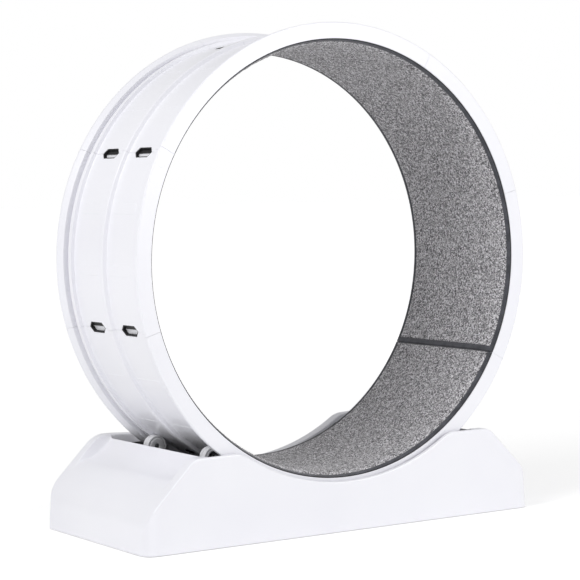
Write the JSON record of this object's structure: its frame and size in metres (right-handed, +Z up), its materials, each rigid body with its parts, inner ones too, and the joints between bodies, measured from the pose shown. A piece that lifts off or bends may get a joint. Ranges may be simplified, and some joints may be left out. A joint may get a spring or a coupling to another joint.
{
  "type": "cat exercise wheel",
  "caption": "Open running wheel for a cat, lined with grey carpet, resting on rollers in a low white moulded base with a saddle-shaped front and sloping ends.",
  "frame": {"origin": "on the floor, under the middle of the base's length and depth", "axes": "+Z up; +Y along the wheel's axis, towards the back; +X along the base, to the right as seen from the front"},
  "size_m": [0.8, 0.358, 0.863],
  "materials": {
    "shell_plastic": "satin gloss",
    "clip_plastic": "matte",
    "mat_pile": "loop pile, speckled grey",
    "mat_binding": "woven tape",
    "roller_nylon": "smooth",
    "roller_tyre": "smooth, pale",
    "steel": "ground",
    "bracket_plastic": "matte",
    "foot_rubber": "matte"
  },
  "bodies": {
    "base": {"base_shell": "shell_plastic", "base_tray": "bracket_plastic", "foot_1": "foot_rubber", "foot_2": "foot_rubber", "foot_3": "foot_rubber", "foot_4": "foot_rubber", "axle_front_left": "steel", "bracket_front_left": "bracket_plastic", "axle_front_right": "steel", "bracket_front_right": "bracket_plastic", "axle_back_left": "steel", "bracket_back_left": "bracket_plastic", "axle_back_right": "steel", "bracket_back_right": "bracket_plastic"},
    "wheel": {"segment_1": "shell_plastic", "segment_2": "shell_plastic", "segment_3": "shell_plastic", "segment_4": "shell_plastic", "segment_5": "shell_plastic", "segment_6": "shell_plastic", "segment_7": "shell_plastic", "segment_8": "shell_plastic", "clip_1_front": "clip_plastic", "clip_1_back": "clip_plastic", "clip_2_front": "clip_plastic", "clip_2_back": "clip_plastic", "clip_3_front": "clip_plastic", "clip_3_back": "clip_plastic", "clip_4_front": "clip_plastic", "clip_4_back": "clip_plastic", "clip_5_front": "clip_plastic", "clip_5_back": "clip_plastic", "clip_6_front": "clip_plastic", "clip_6_back": "clip_plastic", "clip_7_front": "clip_plastic", "clip_7_back": "clip_plastic", "clip_8_front": "clip_plastic", "clip_8_back": "clip_plastic", "mat_1": "mat_pile", "mat_2": "mat_pile", "mat_binding_1": "mat_binding", "mat_binding_2": "mat_binding"},
    "roller_front_left": {"roller_front_left": "roller_nylon", "tyre_front_left": "roller_tyre", "bearing_front_left": "steel"},
    "roller_front_right": {"roller_front_right": "roller_nylon", "tyre_front_right": "roller_tyre", "bearing_front_right": "steel"},
    "roller_back_left": {"roller_back_left": "roller_nylon", "tyre_back_left": "roller_tyre", "bearing_back_left": "steel"},
    "roller_back_right": {"roller_back_right": "roller_nylon", "tyre_back_right": "roller_tyre", "bearing_back_right": "steel"}
  },
  "joints": [
    {"name": "wheel_spin", "type": "hinge", "parent": "base", "child": "wheel", "pos_m": [0, -0.025, 0.463], "axis": [0, 1, 0], "continuous": true},
    {"name": "roller_front_left_spin", "type": "hinge", "parent": "base", "child": "roller_front_left", "pos_m": [-0.23909, -0.119, 0.14107], "axis": [0, 1, 0], "continuous": true},
    {"name": "roller_front_right_spin", "type": "hinge", "parent": "base", "child": "roller_front_right", "pos_m": [0.23909, -0.119, 0.14107], "axis": [0, 1, 0], "continuous": true},
    {"name": "roller_back_left_spin", "type": "hinge", "parent": "base", "child": "roller_back_left", "pos_m": [-0.23909, 0.069, 0.14107], "axis": [0, 1, 0], "continuous": true},
    {"name": "roller_back_right_spin", "type": "hinge", "parent": "base", "child": "roller_back_right", "pos_m": [0.23909, 0.069, 0.14107], "axis": [0, 1, 0], "continuous": true}
  ],
  "couplings": [
    {"joint": "roller_front_left_spin", "follows": "wheel_spin", "ratio": -20.777},
    {"joint": "roller_front_right_spin", "follows": "wheel_spin", "ratio": -20.777},
    {"joint": "roller_back_left_spin", "follows": "wheel_spin", "ratio": -20.777},
    {"joint": "roller_back_right_spin", "follows": "wheel_spin", "ratio": -20.777}
  ]
}
